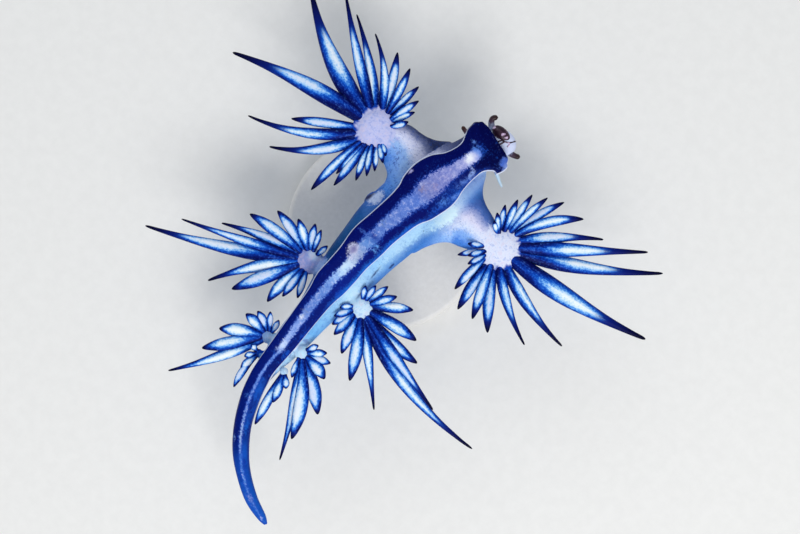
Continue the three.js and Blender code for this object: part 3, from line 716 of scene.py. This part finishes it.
# How strongly each mark shows at points down and off the body, and its colour there.
def paintMarks(mesh, points, down, off, edge, top, upward):
    colour = np.zeros((len(points), 3))
    strength = np.zeros(len(points))
    onPalm = np.zeros(len(points))

    def lay(amount, tint):  # over what is there already
        share = np.clip(amount, 0, 1)
        below = strength * (1 - share)
        total = np.maximum(share + below, 1e-6)
        colour[:] = (np.array(tone(*tint)) * share[:, None] + colour * below[:, None]) / total[:, None]
        strength[:] = share + below

    onSole = eased(edge, 1.03, 0.97) * top
    offSole = upward * (1 - onSole)
    noise.seed_set(pattern["seed"])  # or the warp would differ from run to run
    pull, fineness = pattern["warp"]
    warp = pull * np.array([noise.turbulence_vector(spot, 3, False) for spot in points * fineness])
    for cluster in clusters.values():
        away = points[:, :2] + 0.6 * warp[:, :2] - np.array(cluster["palm"][:2])
        angle = np.arctan2(away[:, 1], away[:, 0])
        distance = np.linalg.norm(away, axis=1) / cluster["radius"]
        scalloped = distance * (1 + 0.06 * np.sin(13 * angle) + 0.05 * np.sin(29 * angle + 1))
        armSide = eased(np.cos(angle) * np.sign(1 - cluster["palm"][0]), 0.4, 0.85)
        # round each palm's cerata roots: their blue web, darkened as painted shade between the roots
        lay(eased(distance, 1.65, 1.3) * (1 - armSide) * offSole, pattern["tints"]["web"])
        if "palmTone" in cluster:
            palm = eased(scalloped, 1.14 + 0.6 * armSide, 0.94 - 0.5 * armSide) * offSole
            lay(palm, cluster["palmTone"])
            onPalm[:] = np.maximum(onPalm, palm)
    lay(eased(down, 0.75, 0.6) * (1 - top), pattern["tints"]["lips"])
    for name, shown in (("soleMarks", onSole), ("flankMarks", offSole)):
        for where, aside, halfLength, halfWidth, amount, *tint in pattern[name]:
            steady = min(1, 2.5 * min(halfLength, halfWidth))
            downGone = (down + steady * warp[:, 1] - where) / halfLength
            offGone = (off + 0.6 * steady * warp[:, 0] - aside) / halfWidth
            lay(amount * eased(np.hypot(downGone, offGone), 1.8, 0.1) * shown, tint)
    layer = mesh.attributes.new("marks", "FLOAT_COLOR", "POINT")
    layer.data.foreach_set("color", np.column_stack([colour, strength]).astype(np.float32).ravel())
    addField(mesh, "palm", onPalm)


def readVectors(items, name):
    values = np.empty(len(items) * 3)
    items.foreach_get(name, values)
    return values.reshape(-1, 3)


def makeSkinFields(mesh):
    points = readVectors(mesh.vertices, "co")
    normals = readVectors(mesh.vertex_normals, "vector")
    centreRows = soleRows()[:len(flesh["foot"])] + raised(flesh["tail"])
    down, off, half = beside(points, [row[:4] for row in centreRows])
    down += pattern["start"]
    edge = np.abs(off) / half
    trunk = np.array(flesh["trunk"])
    level = np.interp(-points[:, 1], -trunk[:, 1], trunk[:, 4])
    overTrunk = eased(points[:, 2] - bodyHeight - level, -0.15, 0.1)
    facingUp = eased(normals[:, 2], -0.15, 0.1)
    top = np.where(down > pattern["tailFrom"], facingUp, overTrunk)
    rims = {name: eased(down, *ends) for name, ends in pattern["rims"].items()}
    begun = eased(down, 1.8, 2.4)
    middle, wide = [np.interp(down, *np.array(pattern["stripe"])[:, (0, k)].T) for k in (1, 2)]
    stripe = np.clip((wide - np.abs(off - middle)) / np.sqrt(0.6 * wide), -2, 1)
    fields = {
        "down": down, "off": off, "edge": edge, "beyond": np.abs(off) - half, "top": top,
        "rim": np.where(off > 0, rims["left"], rims["right"] * rims["rightStart"]),
        "stripe": stripe * begun - 2 * (1 - begun),
        "back": eased(-normals[:, 2], -0.1, 0.5),
    }
    arms = pattern["arms"]
    outward = points[:, 0] - np.interp(points[:, 1], [-16, 12.7], [1.1, 1.5])
    reach = eased(points[:, 1], *arms["rear"]) * eased(-points[:, 1], *arms["front"])
    for name, way in (("armRight", -1), ("armLeft", 1)):
        _, armOff, armHalf = beside(points, [row[:4] for row in raised(flesh[name])])
        fields[name] = eased(outward * way, *arms["out"]) * reach
        fields[name + "Across"] = way * armOff / armHalf
    for name, values in fields.items():
        addField(mesh, name, values)
    paintMarks(mesh, points, down, off, edge, top, eased(normals[:, 2], -0.2, 0.2))


def skinMaterial():
    paint = painter("slugSkin")
    field, mix, over = paint.field, paint.mix, paint.over
    plus, step, times = paint.plus, paint.step, paint.times
    tints = pattern["tints"]
    grain = {name: paint.noise(*settings) for name, settings in pattern["grains"].items()}
    coarse, fine, dust = [paint.centred(grain[name]) for name in ("coarse", "fine", "dust")]
    blotch = grain["blotch"]
    rough = plus(times(coarse, 1.2), times(fine, 1.7))
    down = plus(field("down"), coarse, 1.6)
    left = step(field("off"), -0.15, 0.15)
    edge = field("edge")
    top = field("top")
    # sole: two dark bands, a pale stripe with a ragged border
    leftBand = paint.lengthwise(down, pattern["leftTones"])
    byEdge = step(plus(edge, rough, 0.3), 0.66, 0.92)
    leftBand = mix(byEdge, leftBand, paint.lengthwise(down, pattern["leftEdgeTones"]))
    cloud = step(plus(blotch, coarse, 0.5), 0.58, 0.74)
    leftBand = over(leftBand, cloud, tints["cloud"], 0.6)
    sole = mix(left, paint.lengthwise(down, pattern["rightTones"]), leftBand)
    sole = over(sole, step(grain["fine"], 0.6, 0.7), tints["speck"], 0.5)
    stripe = paint.lengthwise(down, pattern["stripeTones"])
    stripe = over(stripe, step(blotch, 0.5, 0.66), tints["stripePale"], 0.4)
    stripe = over(stripe, step(blotch, 0.5, 0.34), tints["stripeDark"], 0.5)
    pale = plus(field("stripe"), plus(times(rough, 0.5), times(fine, 0.9)))
    sole = over(sole, step(pale, -0.3, 0.15), tints["stripeEdge"], 0.65)
    sole = mix(step(pale, 0.02, 0.36), sole, stripe)
    # flanks, darker away from the rim as painted shade, the right one in painted shade and the left in
    # painted light, and the arms
    low = step(plus(field("beyond"), rough, 0.35), 0.25, 1.5)
    flanks = [
        over(paint.lengthwise(down, pattern[side]), low, pattern[side + "Low"])
        for side in ("rightFlank", "leftFlank")
    ]
    colour = mix(left, *flanks)
    # the arms, with their painted highlight and the painted shade at their fore edges
    for name in ("armRight", "armLeft"):
        across = plus(field(name + "Across"), rough, 0.22)
        armColour = paint.tones(plus(times(across, 0.5), 0.5), pattern[name])
        colour = mix(field(name), colour, armColour)
    colour = over(colour, step(blotch, 0.48, 0.32), tints["mottle"], 0.3)
    colour = over(colour, step(grain["dots"], 0.66, 0.72), tints["dots"], 0.75)
    onArms = plus(field("armRight"), field("armLeft"), 0.4)
    flecks = times(step(grain["flecks"], 0.56, 0.66), onArms)
    colour = over(colour, flecks, tints["flecks"], 0.6)
    silver = over(tone(*tints["silver"]), blotch, tints["dull"])
    colour = mix(field("back"), colour, silver)
    onSole = times(step(edge, 1.04, 1.0), top)
    onTail = times(step(field("down"), 28.0, 29.5), top)
    colour = mix(paint.math("MAXIMUM", onSole, onTail), colour, sole)
    # marks, with the palms among them, and the rim
    markColour = field("marks", "Color")
    for start, full, tint, strength in ((0.5, 0.62, "palmRosy", 0.35), (0.48, 0.38, "palmBlue", 0.42)):
        patches = times(step(blotch, start, full), field("palm"))
        markColour = over(markColour, patches, tints[tint], strength)
    shown = plus(field("marks", "Alpha"), dust, 1.7)
    colour = mix(step(shown, 0.3, 0.8), colour, markColour)
    rim = times(step(edge, 0.94, 0.97), step(edge, 1.06, 1.03))
    colour = over(colour, times(times(rim, top), field("rim")), tints["rim"])
    mixed = plus(times(blotch, 0.5), times(grain["fine"], 0.5))
    return paint.finished(paint.grained(colour, mixed, 0.35), height=rough, **pattern["finish"])


def makeSkin():
    mesh = fuseSkin()
    makeSkinFields(mesh)
    mesh.transform(Matrix.Scale(mm, 4))
    replaced = [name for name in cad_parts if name.startswith(("body_", "foot_", "tail_", "arm_"))]
    placePiece("slugSkin", mesh, skinMaterial(), [*replaced, "head", "snout", "papilla"])
    print("skin:", len(mesh.polygons), "faces")


# The cerata, one piece for each cluster
cerata = {
    "longFrom": 8,  # reach, mm
    # width along a long and a short ceras: -1 is inside the palm, 0 its edge, 1 the tip
    "swell": {
        "long": [
            (-1, 0.5), (0, 0.62), (0.15, 0.86), (0.3, 1), (0.45, 0.92), (0.6, 0.69), (0.75, 0.45),
            (0.9, 0.27), (0.975, 0.18), (1, 0.06),
        ],
        "short": [
            (-1, 0.4), (0, 0.5), (0.2, 0.74), (0.4, 0.94), (0.6, 1), (0.75, 0.86), (0.88, 0.56),
            (0.96, 0.3), (1, 0.08),
        ],
    },
    # half width of the white middle, as a share of the ceras; under 0 it's blue
    "lens": {
        "long": [
            (0, -0.4), (0.12, -0.25), (0.22, 0.15), (0.34, 0.56), (0.52, 0.6), (0.64, 0.38), (0.75, 0),
            (0.86, -0.35), (1, -0.6),
        ],
        "short": [
            (0, -0.5), (0.14, -0.3), (0.28, 0.15), (0.46, 0.58), (0.7, 0.64), (0.83, 0.2), (0.93, -0.3),
            (1, -0.6),
        ],
    },
    # for each kind of cluster: where the dark tips begin, long and short, how much wider the white
    # is, and how far out it begins on the longest
    "tips": {
        "front": (0.62, 0.78, 0, 0.1),
        "middle": (0.72, 0.86, 0.06, 0.2),
        "rear": (0.78, 0.88, 0.12, 0.1),
        "hind": (0.84, 0.9, 0.12, 0),
    },
    "longest": 10.5,  # reach, mm
    "shortFuller": 1.12,  # short ones are this much wider than their measured middle
    "depth": 0.62,  # of the width
    "thinnest": 0.42,
    "detail": {"long": (20, 44), "short": (16, 26)},  # sides and rings
    "tones": [  # from the edge to the white middle
        (0, 3, 10, 80), (0.16, 4, 30, 120), (0.3, 7, 60, 168), (0.43, 20, 92, 202),
        (0.53, 84, 152, 233), (0.65, 160, 206, 247), (0.76, 214, 235, 252), (0.9, 242, 250, 255),
    ],
    "tipTones": [(0, 16, 62, 164), (0.35, 6, 24, 108), (0.7, 3, 7, 60), (1, 2, 3, 26)],
    "tints": {
        "outline": (4, 26, 112), "shade": (104, 160, 234), "veil": (178, 190, 240),
        "under": (150, 176, 214), "underTip": (20, 40, 110),
    },
    "finish": {"roughness": 0.36, "shine": 0.04, "depth": 0.03, "strength": 0.5},
    "seed": 11,
}


def cerasTilt(reach, radius, index):  # degrees up from the palm; short ones the most
    tier = 2.5 if index % 2 else -2.5
    return 36 * math.exp(-(reach / radius - 1.2) / 1.6) - 4 + tier


def cerasRows(cluster, row, index, kind):
    bearing, reach, bend, width = row
    swell = cerata["swell"][kind]
    if kind == "short":
        width *= cerata["shortFuller"]
    turn = math.radians(bearing)
    ahead = Vector((math.cos(turn), math.sin(turn), 0))
    side = Vector((-math.sin(turn), math.cos(turn), 0))
    tilt = math.tan(math.radians(cerasTilt(reach, cluster["radius"], index)))
    x, y, z = cluster["palm"]
    start = cluster["radius"] * 0.6
    rows = []
    for share, girth in swell:
        far = cluster["radius"] * 0.25 if share < 0 else start + (reach - start) * share
        s = far / reach
        spot = Vector((x, y, bodyHeight + z)) + ahead * far + side * (bend * reach * 4 * s * (1 - s))
        half = max(width * girth, cerata["thinnest"] if share < 0.7 else 0.04) / 2
        rows.append((*spot[:2], spot[2] + far * tilt, half, half * cerata["depth"], half * cerata["depth"]))
    return rows


def cerataMaterial():
    paint = painter("cerataSkin")
    field, mix, over = paint.field, paint.mix, paint.over
    plus, step, times = paint.plus, paint.step, paint.times
    tints = cerata["tints"]
    share, across, tint, tip = [field(name) for name in ("share", "acrossCeras", "tint", "tip")]
    along = paint.vector(times(across, 2.2), times(share, 7), times(tint, 40))
    streak = paint.centred(paint.noise(2.2, detail=6, roughness=0.75, vector=along))
    grain = paint.noise(5200, detail=4, roughness=0.75)
    rough = plus(streak, paint.centred(grain), 0.9)
    lens = plus(field("lens"), rough, 0.9)
    colour = paint.tones(plus(times(lens, 0.66), 0.5), cerata["tones"])
    outline = step(paint.math("ABSOLUTE", across), 0.76, 1.0)
    outline = times(outline, step(share, 0.05, 0.35))
    colour = over(colour, outline, tints["outline"], 0.6)
    colour = over(colour, step(rough, 0.04, 0.3), tints["shade"], 0.35)
    veil = times(step(tint, 0.2, 1.0), step(lens, 0.05, 0.5))
    colour = over(colour, veil, tints["veil"], 0.5)
    ragged = plus(tip, rough, 0.55)
    colour = mix(step(ragged, 0.0, 0.3), colour, paint.tones(tip, cerata["tipTones"]))
    under = over(tone(*tints["under"]), tip, tints["underTip"])
    colour = mix(field("under"), colour, under)
    return paint.finished(paint.grained(colour, grain, 0.2), height=rough, **cerata["finish"])


def makeCerata(material):
    draw = random.Random(cerata["seed"])
    fields = ("share", "acrossCeras", "tint", "lens", "tip", "under")
    for name, cluster in clusters.items():
        longTip, shortTip, whiter, rooted = cerata["tips"][name.split("_")[0]]
        for part in [part for part in ("fore", "aft", "whole") if part in cluster]:
            bm = newMesh()
            layers = {key: bm.verts.layers.float.new(key) for key in fields}
            turn = bm.verts.layers.float["turn"]
            run = bm.verts.layers.float["along"]
            for index, row in enumerate(cluster[part]):
                known = set(bm.verts)
                reach = row[1]
                kind, dark = ("long", longTip) if reach > cerata["longFrom"] else ("short", shortTip)
                sides, rings = cerata["detail"][kind]
                rows = cerasRows(cluster, row, index, kind)
                loftTube(bm, rows, sides=sides, rings=rings, flat=1.2, closeTip=True)
                shift, breadth = draw.uniform(-0.05, 0.05), draw.uniform(-0.1, 0.1)
                shift -= rooted if reach > cerata["longest"] else 0
                aside = draw.uniform(-0.32, 0.32)
                tint = draw.random()
                for v in [v for v in bm.verts if v not in known]:
                    share = follow(cerata["swell"][kind], v[run])[0]
                    across = math.cos(v[turn])
                    place = share + shift * (1 - share)
                    wide = float(np.interp(place, *zip(*cerata["lens"][kind])))
                    aslant = abs(across - aside) * (0.55 + 0.45 * min(max(place / 0.3, 0), 1))
                    under = min(max(-math.sin(v[turn]) * 2 - 0.2, 0), 1)
                    lens = wide + breadth + whiter - aslant
                    values = (share, across, tint, lens, (share - dark) / (1 - dark), under)
                    for key, value in zip(fields, values):
                        v[layers[key]] = value
            node = f"cerata_{name}" if part == "whole" else f"cerata_{name}_{part}"
            finishPiece(f"{node}_skin", bm, material, [node])
    print("cerata done")


# Jaws and feelers. A feeler bends over its elbow; the jaws lie on the snout, with dark tubes along its
# creases as painted shade.
feelers = {  # root, elbow and tip; half widths at the root and the tip; kind of skin
    "oral_tentacle_right": [(0.4, 12.75, 0.35), (-0.2, 13.3, 0.5), (-0.02, 13.86, 0.62), (0.3, 0.25), "dark"],
    "oral_tentacle_left": [(2.75, 12.35, 0.2), (3.35, 12.5, 0.25), (3.84, 12.74, 0.3), (0.3, 0.24), "dark"],
    "rhinophore_right": [(-0.5, 11.15, -0.75), (-1.1, 11.1, -0.9), (-1.65, 11.2, -1), (0.3, 0.2), "brown"],
    "rhinophore_left": [(2.8, 10.75, -0.7), (3.7, 10.25, -0.9), (4.58, 9.9, -1), (0.2, 0.13), "pale"],
}
feelerSkins = {  # share of the length and colour there
    "dark": [(0.05, 150, 164, 196), (0.25, 64, 44, 66), (0.5, 40, 18, 24)],
    "pale": [(0.05, 150, 190, 232), (0.25, 186, 220, 244), (0.5, 200, 228, 246)],
    "brown": [(0.05, 120, 140, 180), (0.25, 86, 62, 80), (0.5, 66, 26, 22)],
}
mouth = {
    "middle": (1.27, 12.98, 0.76),
    "radii": (0.95, 0.58, 0.52),
    "creases": [  # over the snout: x and y of each bend of a dark tube, painted shade in a crease
        [(1.53, 12.3), (1.68, 12.6), (1.94, 12.71), (2.3, 12.93), (2.56, 13.41)],
        [(1.82, 12.25), (1.88, 12.5), (1.94, 12.71)],
        [(2.3, 12.93), (2.42, 12.75), (2.4, 12.55)],
    ],
    "creaseHalf": 0.07,
    "tones": [(0.42, 34, 16, 34), (0.56, 58, 34, 52), (0.64, 196, 172, 206), (0.7, 222, 204, 230)],
}


def onSnout(x, y):  # the height of the snout's surface
    (middleX, middleY, middleZ), (wide, long, high) = flesh["snout"]["middle"], flesh["snout"]["radii"]
    left = 1 - ((x - middleX) / wide) ** 2 - ((y - middleY) / long) ** 2
    return bodyHeight + middleZ + high * math.sqrt(max(left, 0.02))


def feelerMaterial(name):
    paint = painter(f"{name}Feeler")
    spots = paint.noise(4200, detail=5, roughness=0.7)
    share = paint.plus(paint.field("along"), paint.times(paint.centred(spots), 0.5))
    colour = paint.grained(paint.tones(share, feelerSkins[name]), spots, 0.4)
    return paint.finished(colour, roughness=0.34, shine=0.25, height=spots, depth=0.03, strength=0.5)


def jawMaterial():
    paint = painter("jawSkin")
    spots = paint.noise(1900, detail=4, roughness=0.65)
    colour = paint.tones(spots, mouth["tones"])
    return paint.finished(colour, roughness=0.34, shine=0.25, height=spots, depth=0.05, strength=0.6)


def makeFeelers():
    skins = {name: feelerMaterial(name) for name in feelerSkins}
    for name, (root, elbow, tip, (thick, thin), skin) in feelers.items():
        bm = newMesh()
        rows = []
        girths = [(0, thick), (0.3, thick * 0.92), (0.6, thin), (0.85, thin * 0.92), (0.97, thin / 2)]
        for share, radius in [*girths, (1, 0.04)]:
            x, y, z = follow([root, elbow, tip], share)
            rows.append((x, y, bodyHeight + z, radius, radius, radius))
        loftTube(bm, rows, sides=20, rings=28, closeTip=True)
        finishPiece(name + "_skin", bm, skins[skin], [name])
    bm = newMesh()
    blob(bm, mouth["middle"], mouth["radii"], segments=48)
    half = mouth["creaseHalf"]
    for crease in mouth["creases"]:
        rows = [(x, y, onSnout(x, y), half, half, half) for x, y in crease]
        loftTube(bm, rows, sides=10, rings=18)
    finishPiece("jaws", bm, jawMaterial(), ["mouth"])
    print("feelers done")


# The stand: a round base and two rods
stand = {
    "radius": 9.0,
    "thickness": 2.5,
    "edge": 0.5,  # rounding of the upper edge
    "bevel": 0.2,  # of the lower edge
    "rodRadius": 0.6,
    "rodTop": bodyHeight - 1.5,  # inside the flesh
    "rods": {"front": 4.9, "rear": -4.6},
}


def makeStand():
    radius, thick, edge = stand["radius"], stand["thickness"], stand["edge"]
    profile = [(0, 0), (radius - stand["bevel"], 0), (radius, stand["bevel"])]
    steps = 8
    for step in range(steps + 1):
        turn = math.radians(90 * step / steps)
        profile.append((radius - edge + edge * math.cos(turn), thick - edge + edge * math.sin(turn)))
    profile.append((0, thick))
    bm = newMesh()
    verts = [bm.verts.new((x, 0, z)) for x, z in profile]
    edges = [bm.edges.new(pair) for pair in zip(verts, verts[1:])]
    bmesh.ops.spin(
        bm, geom=verts + edges, cent=(0, 0, 0), axis=(0, 0, 1), angle=math.tau, steps=96, use_merge=True,
    )
    bmesh.ops.remove_doubles(bm, verts=bm.verts, dist=1e-4)
    paint = painter("standBase")
    grain = paint.noise(2500)
    colour = paint.ramp(grain, [(0.3, (0.74, 0.73, 0.71)), (0.7, (0.8, 0.79, 0.77))])
    material = paint.finished(colour, roughness=0.5, height=grain, depth=0.01, strength=0.3)
    finishPiece("standBase", bm, material, ["stand_base"])
    steel = painter("standSteel")
    brushed = steel.noise(5000, detail=3)
    colour = steel.ramp(brushed, [(0.3, (0.6, 0.61, 0.63)), (0.7, (0.72, 0.73, 0.75))])
    steel.put("Metallic", 1.0)
    material = steel.finished(colour, roughness=0.28)
    for name, y in stand["rods"].items():
        bm = newMesh()
        x = along(flesh["trunk"], 0, y)
        high = stand["rodTop"]
        bmesh.ops.create_cone(
            bm, cap_ends=True, segments=32, radius1=stand["rodRadius"], radius2=stand["rodRadius"],
            depth=high - thick, matrix=Matrix.Translation((x, y, (thick + high) / 2)),
        )
        finishPiece(f"standRod_{name}", bm, material, [f"stand_rod_{name}"])
    print("stand done")


makeStudio()
makeFloor()
print("studio done")
makeSkin()
makeCerata(cerataMaterial())
makeFeelers()
makeStand()
